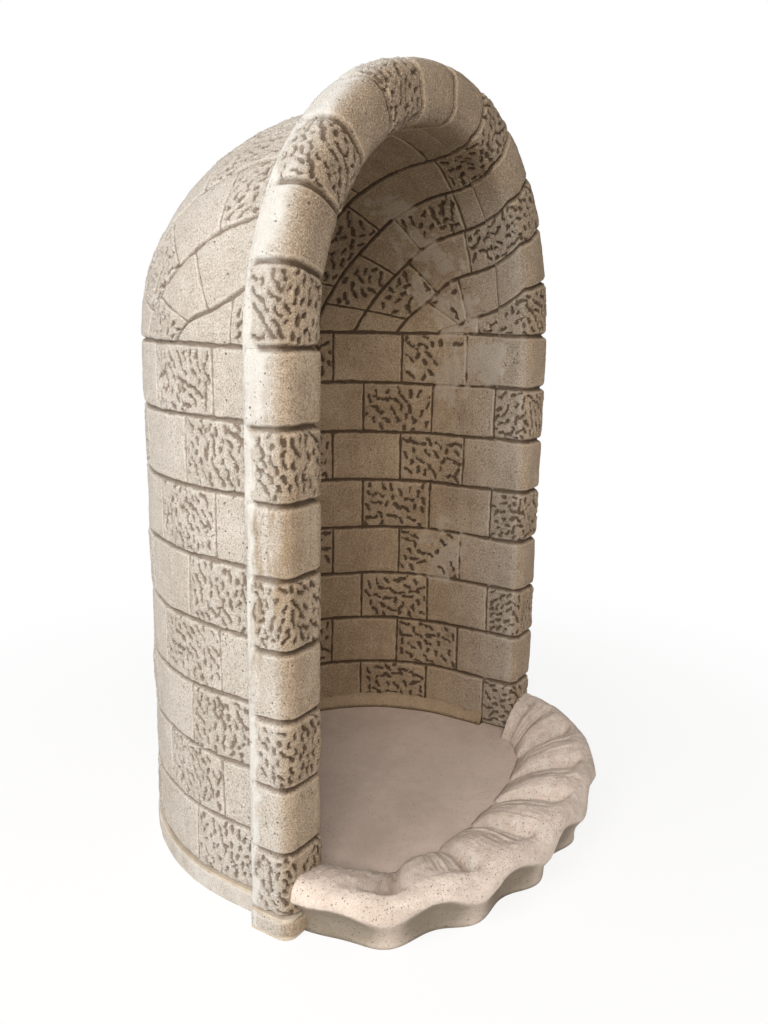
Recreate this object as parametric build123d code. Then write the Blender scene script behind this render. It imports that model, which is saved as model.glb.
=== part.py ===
"""Cast-stone statue niche: a round-backed shell under a half dome, framed by two jambs and an
arch of voussoirs, standing on a slab whose front swells into a ruffled shell-shaped lip."""

import os
from math import cos, degrees, radians, sin

from build123d import *

# Sizes in millimetres. X runs to the right, Y to the back and Z up.

# Base slab: its edge shows as a plinth round the foot. The floor is laid into its top.
floor_height = 25.0
floor_thickness = 8.0
floor_joint = 1.0
plinth_proud = 2.0

# Frame: two jambs and the arch ring, all of one section with rounded front edges.
course_height = 72.0
course_count = 8
opening_half_width = 231.0
frame_width = 64.0
frame_depth = 49.0
frame_round = 14.0
voussoir_count = 12

# Round wall behind the frame, flush with the opening inside.
wall_thickness = 43.0
wall_set_back = 93.0
wall_segment_count = 6

# Half dome over the wall: spherical inside, slightly flattened and thinner at the top outside.
dome_crown_thickness = 26.0
dome_split_angle = 45.0
crown_segment_count = 3

# Open joints between the stones: V-shaped in the wall, square-cut in dome and frame.
wall_joint_width = 6.0
wall_joint_depth = 4.0
dome_joint_width = 4.0
dome_joint_depth = 3.5
frame_joint_width = 5.0
frame_joint_depth = 4.0
# How far the dome's joints sink from the arch's joints to the back, outside and inside, in degrees.
outside_sink_angle = 3.0
inside_sink_angle = 12.0

# Ruffled lip in front of the frame, between two half ellipses: its outer edge and its inner toe.
lip_reach = 178.0
lip_end_inset = 5.0
dish_reach = 73.0
dish_end_inset = 29.0
lip_lobe_count = 7
toe_thickness = 2.0

# Heights above the floor and depths of the ruffle, on a ridge and in a groove between two lobes.
ridge_rise = 40.0
groove_rise = 22.0
ridge_nose_rise = 26.0
groove_nose_rise = 10.0
groove_swell = 6.0
ridge_undercut = 30.0
groove_undercut = 16.0

# How far up the ruffle stands at five places across a lobe, from the left groove to the right one.
first_lobe_shares = (0.9, 1.0, 0.95, 0.6, 0.0)
middle_lobe_shares = (0.0, 0.9, 1.0, 0.65, 0.0)
last_lobe_shares = (0.0, 0.9, 1.0, 1.0, 0.9)
# Places along the lip's top as shares of its width and of its rise, from the toe to the nose.
slope_width_share = 0.2
slope_rise_share = 0.36
brow_width_share = 0.45
brow_rise_share = 0.8
crest_width_share = 0.72
shoulder_width_share = 0.92
shoulder_rise_share = 0.86
# How hollow the lip's underside is, as a share of its undercut.
underside_hollow_share = 0.25

# Sizes that follow from those above.
jamb_height = course_count * course_height
springing = floor_height + jamb_height
frame_outer = opening_half_width + frame_width
wall_outer = opening_half_width + wall_thickness
dome_rise = opening_half_width + dome_crown_thickness
leg_length = wall_set_back - frame_depth
plinth_radius = wall_outer + plinth_proud
far_reach = wall_outer + frame_outer
half_turn = 180.0
voussoir_arc = half_turn / voussoir_count
wall_arc = half_turn / wall_segment_count
crown_arc = half_turn / crown_segment_count
course_levels = [course_height * number for number in range(course_count + 1)]
arch_joint_angles = [voussoir_arc * number for number in range(1, voussoir_count // 2)]

# The part's origin is on the ground in the middle of its width and depth.
wall_y = (wall_set_back + lip_reach - plinth_radius) / 2


def between(low, high, share):
    """The value that lies a share of the way from low to high."""
    return low + (high - low) * share


def save(name, solid):
    """Write one piece, moved from the wall's centre to the part's origin."""
    export_step(Pos(0, wall_y, 0) * solid, f"parts/{name}.step")


def front_ellipse(half_width, reach):
    """Half an ellipse in plan, in front of the frame, from its left end to its right end."""
    return EllipticalCenterArc(
        (0, -wall_set_back), half_width, reach, start_angle=half_turn, arc_size=half_turn
    )


def lip_edge():
    """Plan line of the lip's outer edge, from jamb to jamb."""
    return front_ellipse(frame_outer - lip_end_inset, lip_reach)


def lip_toe(joint=0.0):
    """Plan line where the lip rises from the floor, or a joint's width inside it."""
    half_width = opening_half_width - dish_end_inset
    return front_ellipse(half_width - joint, dish_reach - joint)


def lobe_stations(index):
    """Pairs of place along the lip and height of its ruffle across one lobe, counted from the left."""
    shares = middle_lobe_shares
    if index == 0:
        shares = first_lobe_shares
    if index == lip_lobe_count - 1:
        shares = last_lobe_shares
    steps = len(shares) - 1
    return [((index + step / steps) / lip_lobe_count, share) for step, share in enumerate(shares)]


def lip_swell(share):
    """How far the lip stands out past its mean edge, at a height of the ruffle."""
    return between(groove_swell, 0, share)


def lip_undercut(share):
    """How far the slab's front edge lies behind the lip's nose, at a height of the ruffle."""
    return between(groove_undercut, ridge_undercut, share)


def lip_section(place, share):
    """Upright section across the lip: a slope up from the floor, a round nose, a hollow under it."""
    toe = Vector(lip_toe() @ place)
    across = Vector(lip_edge() @ place) - toe
    width = across.length + lip_swell(share)
    foot = width - lip_undercut(share)
    rise = between(groove_rise, ridge_rise, share)
    nose = between(groove_nose_rise, ridge_nose_rise, share)
    hollow = underside_hollow_share * (width - foot)
    top = Spline(
        (0, toe_thickness),
        (slope_width_share * width, slope_rise_share * rise),
        (brow_width_share * width, brow_rise_share * rise),
        (crest_width_share * width, rise),
        (shoulder_width_share * width, shoulder_rise_share * rise),
        (width, nose),
    )
    under = ThreePointArc((width, nose), ((width + foot) / 2 - hollow, nose / 2), (foot, 0))
    base = Polyline((foot, 0), (0, 0), (0, toe_thickness))
    plane = Plane(
        origin=(toe.X, toe.Y, floor_height),
        x_dir=across,
        z_dir=across.cross(Vector(0, 0, 1)),
    )
    return plane * make_face([top, under, base])


def lip_lobe(index):
    """One lobe of the ruffled lip, lofted from groove to groove."""
    return loft([lip_section(place, share) for place, share in lobe_stations(index)])


def lip_foot(place, share):
    """Plan point of the slab's front edge under the lip."""
    toe = Vector(lip_toe() @ place)
    across = Vector(lip_edge() @ place) - toe
    reach = across.length + lip_swell(share) - lip_undercut(share)
    return toe + across.normalized() * reach


def back_plan(radius):
    """Plan of a half circle behind the wall's centre with legs running forward to the frame."""
    half = Rectangle(2 * radius, radius, align=(Align.CENTER, Align.MIN))
    legs = Rectangle(2 * radius, leg_length, align=(Align.CENTER, Align.MAX))
    return (Circle(radius) & half) + legs


def lip_foot_plan():
    """Plan of the slab in front of the frame, with a wavy front edge that follows the lobes."""
    stations = [pair for index in range(lip_lobe_count) for pair in lobe_stations(index)[:-1]]
    stations.append(lobe_stations(lip_lobe_count - 1)[-1])
    wave = Spline([lip_foot(place, share) for place, share in stations])
    return make_face([wave, Line(wave @ 1, wave @ 0)])


def frame_plan():
    """Plan of both jambs and the doorway between them, with rounded front corners."""
    plan = Rectangle(2 * frame_outer, frame_depth, align=(Align.CENTER, Align.MIN))
    return fillet(plan.vertices().group_by(Axis.Y)[0], frame_round)


def floor():
    """The floor, laid inside the wall, between the jambs and up to the lip's toe."""
    half_width = opening_half_width - floor_joint
    between_jambs = Rectangle(2 * half_width, frame_depth, align=(Align.CENTER, Align.MIN))
    toe = lip_toe(floor_joint)
    dish = make_face([toe, Line(toe @ 1, toe @ 0)])
    plan = back_plan(half_width) + Pos(0, -wall_set_back) * between_jambs + dish
    return Pos(0, 0, floor_height - floor_thickness) * extrude(plan, floor_thickness)


def base_slab():
    """The slab under everything: plinth round the back, wavy foot in front, seat for the floor."""
    plan = back_plan(plinth_radius) + Pos(0, -wall_set_back) * frame_plan() + lip_foot_plan()
    return extrude(plan, floor_height) - floor()


def frame_section():
    """Section of the frame at the right springing, from the opening outwards."""
    section = Rectangle(frame_width, frame_depth, align=(Align.MIN, Align.MIN))
    rounded = fillet(section.vertices().group_by(Axis.Y)[0], frame_round)
    return Pos(opening_half_width, -wall_set_back) * rounded


def frame_core():
    """Section of the frame at the bottom of its open joints."""
    return offset(frame_section(), -frame_joint_depth)


def right_jamb():
    """The upright of the frame on the right of the opening: stones with open joints between them."""
    stone = extrude(frame_section(), course_height - frame_joint_width)
    jamb = extrude(frame_core(), jamb_height)
    for level in course_levels[:-1]:
        jamb += Pos(0, 0, level + frame_joint_width / 2) * stone
    return Pos(0, 0, floor_height) * jamb


def voussoir(index):
    """One stone of the arch, counted from the left springing, with half an open joint at each end."""
    axis = Axis((0, 0, 0), (0, -1, 0))
    joint_arc = degrees(frame_joint_width / frame_outer)
    stone = Rot(0, -joint_arc / 2, 0) * revolve(frame_section(), axis, voussoir_arc - joint_arc)
    core = revolve(frame_core(), axis, voussoir_arc)
    start = half_turn - voussoir_arc * (index + 1)
    return Pos(0, 0, springing) * Rot(0, -start, 0) * (core + stone)


def swept_shell(profile, arc, index, count):
    """One of count equal sectors of a shell, counted from the right: the first and last have legs."""
    sector = revolve(profile, Axis.Z, arc)
    ended = sector + extrude(profile, leg_length)
    if index == 0:
        return ended
    if index == count - 1:
        return mirror(ended, about=Plane.YZ)
    return Rot(0, 0, index * arc) * sector


def wall_strip():
    """Section of the wall, with a V-shaped joint between the courses on both faces."""
    strip = Rectangle(wall_thickness, jamb_height, align=(Align.MIN, Align.MIN))
    half = wall_joint_width / 2
    notch = make_face(Polyline((0, -half), (wall_joint_depth, 0), (0, half), close=True))
    for level in course_levels:
        strip -= Pos(0, level) * notch
        strip -= Pos(wall_thickness, level) * mirror(notch, about=Plane.YZ)
    return strip


def wall_segment(index):
    """One upright strip of the round wall."""
    profile = Plane.XZ * Pos(opening_half_width, floor_height) * wall_strip()
    return swept_shell(profile, wall_arc, index, wall_segment_count)


def dome_profile(low_angle, high_angle):
    """Section of the dome's shell between two angles above the springing."""
    wedge = make_face(
        Polyline(
            (0, 0),
            (far_reach * cos(radians(low_angle)), far_reach * sin(radians(low_angle))),
            (far_reach * cos(radians(high_angle)), far_reach * sin(radians(high_angle))),
            close=True,
        )
    )
    shell = Ellipse(wall_outer, dome_rise) - Circle(opening_half_width)
    return Plane.XZ * (shell & wedge)


def dome_skin(outer, inner):
    """A thin layer of the half dome with its legs, between two section curves."""
    quarter = Rectangle(far_reach, far_reach, align=(Align.MIN, Align.MIN))
    profile = Plane.XZ * ((outer - inner) & quarter)
    leg = extrude(profile, leg_length)
    return revolve(profile, Axis.Z, half_turn) + leg + mirror(leg, about=Plane.YZ)


def dome_joints(skin, radius, sink_angle):
    """The joints in one face of the dome: upright cuts that carry on from the joints of the arch."""
    cut = Box(dome_joint_width, 2 * far_reach, 2 * far_reach)
    places = [0]
    for angle in arch_joint_angles:
        place = radius * cos(radians(angle - sink_angle))
        places += [place, -place]
    return [skin & Pos(place, 0, 0) * cut for place in places]


def all_dome_joints():
    """The joints of the dome's outer and inner faces."""
    outside = dome_skin(
        Ellipse(wall_outer + dome_joint_depth, dome_rise + dome_joint_depth),
        Ellipse(wall_outer - dome_joint_depth, dome_rise - dome_joint_depth),
    )
    inside = dome_skin(
        Circle(opening_half_width + dome_joint_depth), Circle(opening_half_width - dome_joint_depth)
    )
    joints = dome_joints(outside, wall_outer, outside_sink_angle)
    return joints + dome_joints(inside, opening_half_width, inside_sink_angle)


def dome_piece(profile, arc, index, count):
    """One of count sectors of the dome with its joints: those on the left mirror those on the right."""
    twin = count - 1 - index
    if twin < index:
        return mirror(dome_piece(profile, arc, twin, count), about=Plane.YZ)
    sector = swept_shell(profile, arc, index, count)
    return Pos(0, 0, springing) * (sector - dome_joint_cuts)


def dome_gore(index):
    """One piece of the dome's lower half, over the wall segment of the same number."""
    return dome_piece(dome_profile(0, dome_split_angle), wall_arc, index, wall_segment_count)


def dome_crown(index):
    """One piece of the dome's upper half, reaching to its top."""
    profile = dome_profile(dome_split_angle, half_turn / 2)
    return dome_piece(profile, crown_arc, index, crown_segment_count)


dome_joint_cuts = all_dome_joints()
os.makedirs("parts", exist_ok=True)
save("base_slab", base_slab())
save("floor", floor())
save("right_jamb", right_jamb())
save("left_jamb", mirror(right_jamb(), about=Plane.YZ))
for number in range(voussoir_count):
    save(f"voussoir_{number + 1:02d}", voussoir(number))
for number in range(wall_segment_count):
    save(f"wall_segment_{number + 1}", wall_segment(number))
    save(f"dome_gore_{number + 1}", dome_gore(number))
for number in range(crown_segment_count):
    save(f"dome_crown_{number + 1}", dome_crown(number))
for number in range(lip_lobe_count):
    save(f"lip_lobe_{number + 1}", lip_lobe(number))
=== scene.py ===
"""Dresses the statue niche: stones with open joints and chisel marks, a ruffled lip, mortar and stains."""

import itertools
import math

import bpy
import numpy as np
from bpy.props import FloatProperty, FloatVectorProperty, IntProperty, PointerProperty
from mathutils import Matrix, Vector


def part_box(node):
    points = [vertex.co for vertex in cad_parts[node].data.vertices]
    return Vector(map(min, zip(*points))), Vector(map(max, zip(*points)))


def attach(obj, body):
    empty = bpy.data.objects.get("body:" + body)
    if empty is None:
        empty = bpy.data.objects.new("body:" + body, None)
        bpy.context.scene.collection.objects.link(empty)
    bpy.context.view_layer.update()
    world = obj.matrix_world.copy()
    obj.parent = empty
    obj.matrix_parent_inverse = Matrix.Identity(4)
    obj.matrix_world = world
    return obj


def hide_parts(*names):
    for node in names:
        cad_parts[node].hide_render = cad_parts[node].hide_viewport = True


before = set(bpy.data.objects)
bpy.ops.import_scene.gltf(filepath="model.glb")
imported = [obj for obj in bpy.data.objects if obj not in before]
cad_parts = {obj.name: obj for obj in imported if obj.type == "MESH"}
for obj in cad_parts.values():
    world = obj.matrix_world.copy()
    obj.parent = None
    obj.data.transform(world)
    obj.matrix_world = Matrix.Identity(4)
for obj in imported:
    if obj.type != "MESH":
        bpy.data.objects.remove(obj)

bl_info = {
    "name": "Statue Niche",
    "version": (1, 0, 0),
    "blender": (4, 5, 0),
    "location": "View3D > Sidebar > Niche",
    "description": "Builds the stonework of a round-backed statue niche on its packed frame",
    "category": "Object",
}

COURSES = 8
VOUSSOIRS = 12
TOOLED_VOUSSOIRS = (0, 2, 4, 7, 9, 11)
# Degrees that a voussoir, and a band of stones in the dome, takes of the half round.
WEDGE = 180.0 / VOUSSOIRS
# Spacing of points on smooth stones, and how far the smooth wall stones run forward behind the jambs.
SMOOTH_STEP = 0.0045
LAP = 0.034
# Depth of the blocks behind the stones' faces, and how far the middle of a face swells.
WALL_BLOCK = 0.012
THIN_BLOCK = 0.010
FACE_SWELL = 0.0004
PLINTH_SWELL = 0.0012
# How far the foot stones of the jambs stand out.
FOOT_PROUD = 0.0016
# How far a stone's face sinks where it laps under the next one, and over what distance.
LAP_SINK = 0.004
LAP_FADE = 0.030
# Degrees that joints sink along the inside of the arch, and dip on the outside of the dome.
ARCH_SINK = 12.6
DOME_DIP = 7.0
# Stones round the plinth, and the height and width of the mortar cove at the wall's foot.
PLINTH_STONES = 5
COVE_TALL = 0.019
COVE_WIDE = 0.010
# Width and thickness of the grout behind the frame.
GROUT_WIDE = 0.010
GROUT_THICK = 0.0012
# Width of the limed strip along the back of the frame's outer side.
LIMED = 0.012
# Small share or distance that is stepped aside to find a direction.
NUDGE = 0.001
# Stone ends along the wall, as distances in metres from the right jamb's back, outside and inside.
OUTSIDE_ODD = (0.0, 0.056, 0.160, 0.264, 0.359, 0.429)
OUTSIDE_EVEN = (0.0, 0.102, 0.206, 0.309, 0.409)
INSIDE_ODD = (0.0, 0.047, 0.144, 0.244, 0.349)
INSIDE_EVEN = (0.0, 0.098, 0.199, 0.294, 0.365)
# Cross joints of the dome in each band of stones: degrees up from the back, past 90 millimetres forward.
# The letters say which stones, from the arch to the back, are tooled (t) and which are smooth (s).
DOME_OUTSIDE = (
    ((102.0,), "ts"), ((61.5, 24.0), "sst"), ((79.0, 47.0, 15.0), "tsts"),
    ((63.5, 36.0), "tst"), ((79.0, 52.0, 26.0), "stst"), ((64.0, 38.0, 13.0), "tsts"),
)
DOME_INSIDE = (
    ((104.0,), "tt"), ((80.0, 35.0), "sts"), ((98.0, 50.0, 12.0), "tsts"),
    ((102.0, 62.0, 38.0, 12.0), "ststs"), ((104.0, 53.0, 20.0), "tsts"), ((95.0, 60.0, 30.0), "ssts"),
)
# Mortar smeared over the stones inside: centre from the wall's axis at the springing, and reach.
SMEARS = (
    (0.222, 0.030, 0.030, 0.055),
    (0.200, 0.040, 0.110, 0.050),
    (0.225, 0.022, -0.060, 0.052),
    (0.232, -0.030, -0.045, 0.042),
    (0.225, 0.020, -0.320, 0.050),
    (0.150, 0.080, 0.165, 0.040),
    (-0.180, 0.150, -0.200, 0.045),
)
# The marks inside are longer, sparser and more slanted than those outside, and turn more freely.
INNER_MARKS = {"gap": 0.0122, "length": 0.0112, "width": 0.0047, "slant": 0.6, "spread": 1.0}
# Height of the lip across one lobe, from groove to groove: fluted on its inner slope, rolled at its edge.
# Each has three outlines, for the lobes in the middle, the first one and the last one.
FLUTES = (
    ((0.0, 0.03, 0.07, 0.12, 0.28, 0.44, 0.54, 0.59, 0.65, 0.74, 0.79, 0.85, 0.92, 0.97, 1.0),
     (0.0, 0.32, 0.76, 0.94, 1.00, 0.97, 0.87, 0.80, 0.87, 0.78, 0.68, 0.73, 0.50, 0.14, 0.0)),
    ((0.0, 0.18, 0.32, 0.40, 0.44, 0.50, 0.60, 0.76, 0.86, 0.93, 0.98, 1.0),
     (0.92, 0.98, 1.00, 0.97, 0.91, 0.94, 0.85, 0.66, 0.47, 0.25, 0.06, 0.0)),
    ((0.0, 0.04, 0.10, 0.18, 0.32, 0.42, 0.48, 0.56, 0.72, 0.78, 0.86, 1.0),
     (0.0, 0.25, 0.68, 0.90, 1.00, 0.90, 0.74, 0.88, 1.00, 0.84, 0.96, 1.0)),
)
ROLLS = (
    ((0.0, 0.1, 0.25, 0.42, 0.6, 0.8, 0.93, 1.0), (0.0, 0.28, 0.75, 1.0, 0.85, 0.42, 0.1, 0.0)),
    ((0.0, 0.25, 0.42, 0.6, 0.8, 0.93, 1.0), (0.85, 1.0, 1.0, 0.85, 0.42, 0.1, 0.0)),
    ((0.0, 0.1, 0.25, 0.42, 0.6, 1.0), (0.0, 0.28, 0.75, 1.0, 1.0, 0.85)),
)
# Height of the lip from the floor out to its edge, along a ridge and along a groove.
RIDGE_LINE = ((0.0, 0.05, 0.15, 0.30, 0.50, 0.70, 0.80), (0.02, 0.20, 0.50, 0.76, 0.93, 1.0, 1.0))
GROOVE_LINE = (
    (0.0, 0.15, 0.35, 0.55, 0.68, 0.73, 0.79, 0.84), (0.02, 0.06, 0.18, 0.28, 0.31, 0.42, 0.84, 1.0)
)
# The hollow under the lip's edge: shares of its depth and of the edge's height, and how much painted shade
# lies in it.
UNDERCUT = ((0.10, 0.90), (0.34, 0.78), (0.66, 0.62), (0.88, 0.44), (0.98, 0.25), (1.0, 0.10), (0.98, 0.0))
UNDERCUT_SHADE = (0.35, 0.8, 1.0, 0.95, 0.8, 0.6, 0.5)
# Lines across each lobe of the lip, and its length along the middle, for ribs that follow the flutes.
LIP_STEPS = 72
LIP_LENGTH = 0.78
# Middle of the brown stain on the left outside, and how quickly it fades each way.
STAIN_PLACE = (-0.297, -0.075, 0.405)
STAIN_FADE = (22.0, 22.0, 5.0)
STAIN_COLOUR = (0.36, 0.24, 0.12, 1.0)
# Colour of the painted highlight on the lip's flanks that rise towards the light from the left.
LIP_FLANK_HIGHLIGHT = (0.66, 0.61, 0.55, 1.0)
# Lamps: place, aim, size, power as a share of the key setting, and colour.
LAMPS = {
    "key_lamp": ((-2.7, 0.5, 2.0), (0.0, 0.0, 0.45), 1.5, 1.0, (1.0, 0.98, 0.95)),
    "front_lamp": ((-2.3, -1.5, 1.9), (0.0, 0.0, 0.3), 1.3, 1.10, (1.0, 0.945, 0.88)),
}
WHITE = (1.0, 1.0, 1.0, 1.0)
SKY_COLOUR = (1.0, 0.985, 0.96, 1.0)
GROUND_COLOUR = (0.90, 0.90, 0.89, 1.0)
GROUND_HALF = 6.0
# The camera stands where the photo was taken: place in metres, and turn, pitch and roll in degrees.
CAMERA_PLACE = (-0.9396, -0.6182, 0.6428)
CAMERA_ANGLES = (-57.24, 12.76, 0.92)
SENSOR_WIDTH = 36.0
MATERIALS = {}


class Sizes:
    """Sizes of the niche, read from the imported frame, in metres."""

    def __init__(self):
        low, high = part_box("right_jamb")
        self.opening, self.frame_outer = low.x, high.x
        self.front, self.frame_back = low.y, high.y
        self.floor, self.springing = low.z, high.z
        self.wall_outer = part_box("wall_segment_1")[1].x
        self.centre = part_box("wall_segment_3")[1].y - self.wall_outer
        self.dome_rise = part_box("dome_crown_2")[1].z - self.springing
        self.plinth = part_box("base_slab")[1].y - self.centre
        self.leg = self.centre - self.frame_back
        self.course = (self.springing - self.floor) / COURSES
        self.lip_reach = self.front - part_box("lip_lobe_4")[0].y
        self.lip_half = -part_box("lip_lobe_1")[0].x
        self.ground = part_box("base_slab")[0].z


def smooth(t):
    """A smooth step from 0 to 1."""
    t = np.clip(t, 0.0, 1.0)
    return t * t * (3.0 - 2.0 * t)


def lattice(cells, seed):
    """A fixed number from 0 to 1 for each whole-numbered place."""
    c = cells.astype(np.uint32)
    mixed = c[..., 0] * np.uint32(374761393) + c[..., 1] * np.uint32(668265263)
    mixed = mixed + c[..., 2] * np.uint32(2246822519) + np.uint32(seed * 2654435 % 4294967295)
    mixed = (mixed ^ (mixed >> np.uint32(13))) * np.uint32(1274126177)
    return (mixed ^ (mixed >> np.uint32(16))) / 4294967295.0


def noise(points, size, seed):
    """Smooth noise from -1 to 1 with bumps of about the given size."""
    q = points / size
    base = np.floor(q)
    f = smooth(q - base)
    total = 0.0
    for corner in itertools.product((0, 1), repeat=3):
        step = np.array(corner)
        weight = np.prod(np.where(step, f, 1.0 - f), axis=-1)
        total = total + weight * lattice(base.astype(np.int64) + step, seed)
    return 2.0 * total - 1.0


def layered(points, *layers):
    """Noise in layers, each given by its height, the size of its bumps and its seed."""
    return sum(height * noise(points, size, seed) for height, size, seed in layers)


def lines(length, step, rim=(0.0008, 0.0017, 0.0029, 0.0045, 0.0068)):
    """Grid lines along a stone, closer together near its two ends."""
    near = [0.0] + [r for r in rim if r < length * 0.3]
    inner = length - 2 * near[-1]
    count = max(int(math.ceil(inner / step)), 1)
    middle = [near[-1] + inner * i / count for i in range(1, count)]
    return np.array(near + middle + [length - r for r in reversed(near)])


def columns(*values):
    """Values side by side along a new last axis, with single numbers repeated."""
    return np.stack(np.broadcast_arrays(*values), axis=-1)


def padded(values, count, fill=0.0):
    """Values on a grid, followed by one value for the points that are off the grid."""
    return np.concatenate([np.ravel(values), np.full(count, fill)])


def quads_between(first, second):
    """Faces between lines of points and the lines beside them."""
    corners = [first[:, :-1], second[:, :-1], second[:, 1:], first[:, 1:]]
    return np.stack(corners, axis=-1).reshape(-1, 4)


def fan(ring, beside, middle):
    """Triangles from a ring of points to its middle."""
    return np.stack([ring, beside, np.full(len(ring), middle)], axis=-1)


def tube_faces(index):
    """Faces of a tube and of its two ends, whose middle points come after the others."""
    beside = np.roll(index, -1, axis=0)
    low, high = index.size, index.size + 1
    ends = fan(beside[:, 0], index[:, 0], low), fan(index[:, -1], beside[:, -1], high)
    return quads_between(index, beside), np.concatenate(ends)


def facing_out(points, index, i, j, out, faces):
    """Quads and triangles, turned round if at one place of the grid they face the wrong way."""
    corner = points[index[i, j]]
    normal = np.cross(points[index[i + 1, j]] - corner, points[index[i, j + 1]] - corner)
    return [f[:, ::-1] for f in faces] if np.dot(normal, out) < 0 else faces


def add_object(name, data, matrix=Matrix()):
    """Adds an object to the scene, at the origin unless a place is given."""
    obj = bpy.data.objects.new(name, data)
    bpy.context.scene.collection.objects.link(obj)
    obj.matrix_world = matrix
    return obj


class Shape:
    """Closed shells gathered into one mesh, with values at its points."""

    def __init__(self):
        self.points, self.quads, self.tris, self.grain = [], [], [], []
        self.values = {"tooled": [], "recess": [], "smear": [], "indoor": []}
        self.count = 0

    def add(self, points, faces, grain=(), **values):
        """Adds a shell. Its grain is the way that marks run, given for its first points."""
        self.points.append(points)
        self.quads.append(faces[0] + self.count)
        self.tris.append(faces[1] + self.count)
        for name, kept in self.values.items():
            kept.append(np.broadcast_to(values.get(name, 0.0), len(points)))
        run = np.tile((0.0, 0.0, 1.0), (len(points), 1))
        given = np.reshape(grain, (-1, 3))
        run[:len(given)] = given / NUDGE
        self.grain.append(run)
        self.count += len(points)

    def make(self, name, wander=0.0012):
        """One object from all shells, its joints wandering a little as hand-cut ones do."""
        points = np.concatenate(self.points)
        drift = np.stack([noise(points, 0.055, seed) for seed in (3, 5, 7)], axis=-1)
        points = points + wander * drift
        points[:, 2] = np.maximum(points[:, 2], 0.0)
        quads, tris = np.concatenate(self.quads), np.concatenate(self.tris)
        loops = np.concatenate([quads.ravel(), tris.ravel()]).astype(np.int32)
        starts = np.concatenate([np.arange(len(quads)) * 4, len(quads) * 4 + np.arange(len(tris)) * 3])
        mesh = bpy.data.meshes.new(name)
        mesh.vertices.add(len(points))
        mesh.vertices.foreach_set("co", points.astype(np.float32).ravel())
        mesh.loops.add(len(loops))
        mesh.loops.foreach_set("vertex_index", loops)
        mesh.polygons.add(len(starts))
        mesh.polygons.foreach_set("loop_start", starts.astype(np.int32))
        mesh.update(calc_edges=True)
        for value, kept in self.values.items():
            layer = mesh.attributes.new(value, "FLOAT", "POINT")
            layer.data.foreach_set("value", np.concatenate(kept).astype(np.float32))
        layer = mesh.attributes.new("grain", "FLOAT_VECTOR", "POINT")
        layer.data.foreach_set("vector", np.concatenate(self.grain).astype(np.float32).ravel())
        mesh.shade_smooth()
        return add_object(name, mesh)


def groove(distance, joint):
    """How deep a joint is at a distance from its middle line, as a share of its depth."""
    _, reach, flat = joint
    return (1.0 - np.clip((distance - flat) / (reach - flat), 0.0, 1.0)) ** 2


def smear_at(points, sizes):
    """Where mortar is smeared over the stones inside."""
    rest = points - np.array((0.0, sizes.centre, sizes.springing))
    rough = layered(points, (0.5, 0.030, 11), (0.5, 0.011, 12), (0.3, 0.005, 13))
    total = 0.0
    for x, y, z, reach in SMEARS:
        gap = np.linalg.norm(rest - np.array((x, y, z)), axis=-1) / reach
        total = np.maximum(total, smooth((0.95 - gap + rough) * 1.8))
    return 0.9 * total


def inside_shade_share(points):
    """How much of the painted inside shade shows: less on the right, towards the open front, where light from
    the left falls in.
    """
    lit = smooth((points[..., 0] - 0.10) / 0.11) * smooth((0.06 - points[..., 1]) / 0.18)
    return 1.0 - 0.60 * lit


def lime_stray(points):
    """How far the edge of the lime along the frame's back wanders."""
    return layered(points, (0.005, 0.045, 41), (0.006, 0.014, 42), (0.003, 0.006, 43))


def unevenness(base, tooled):
    """Gentle swells of a stone's face, rougher where it is tooled."""
    return layered(base, (0.0006, 0.026, 21), (0.0003 + 0.0005 * tooled, 0.009, 22), (0.0003, 0.0045, 25))


def ragged(base):
    """How far the edges of the joints stray, with a chip broken out here and there."""
    chips = 0.0016 * np.clip(noise(base, 0.013, 26) - 0.35, 0.0, 1.0)
    return layered(base, (0.0007, 0.011, 23), (0.0006, 0.0045, 27)) - chips


def relief(base, gaps, joints, tooled, smear):
    """Height, joint share and tooled share of a stone's face from its distances to its edges."""
    wobble = ragged(base)
    recess = np.zeros(base.shape[:-1])
    cut = np.zeros(base.shape[:-1])
    clear = np.ones(base.shape[:-1])
    for gap, joint in zip(gaps, joints):
        if joint is None:
            continue
        share = groove(gap + wobble, joint) * (1.0 - 0.7 * smear)
        recess = np.maximum(recess, share * min(joint[0] / 0.0019, 1.0))
        cut = np.maximum(cut, share * joint[0])
        clear = np.minimum(clear, smooth((gap - 0.5 * joint[1]) / 0.004))
    height = unevenness(base, tooled) - cut + (0.0008 + 0.0009 * noise(base, 0.009, 24)) * smear
    return height, recess, tooled * clear * (1.0 - smear)


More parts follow.
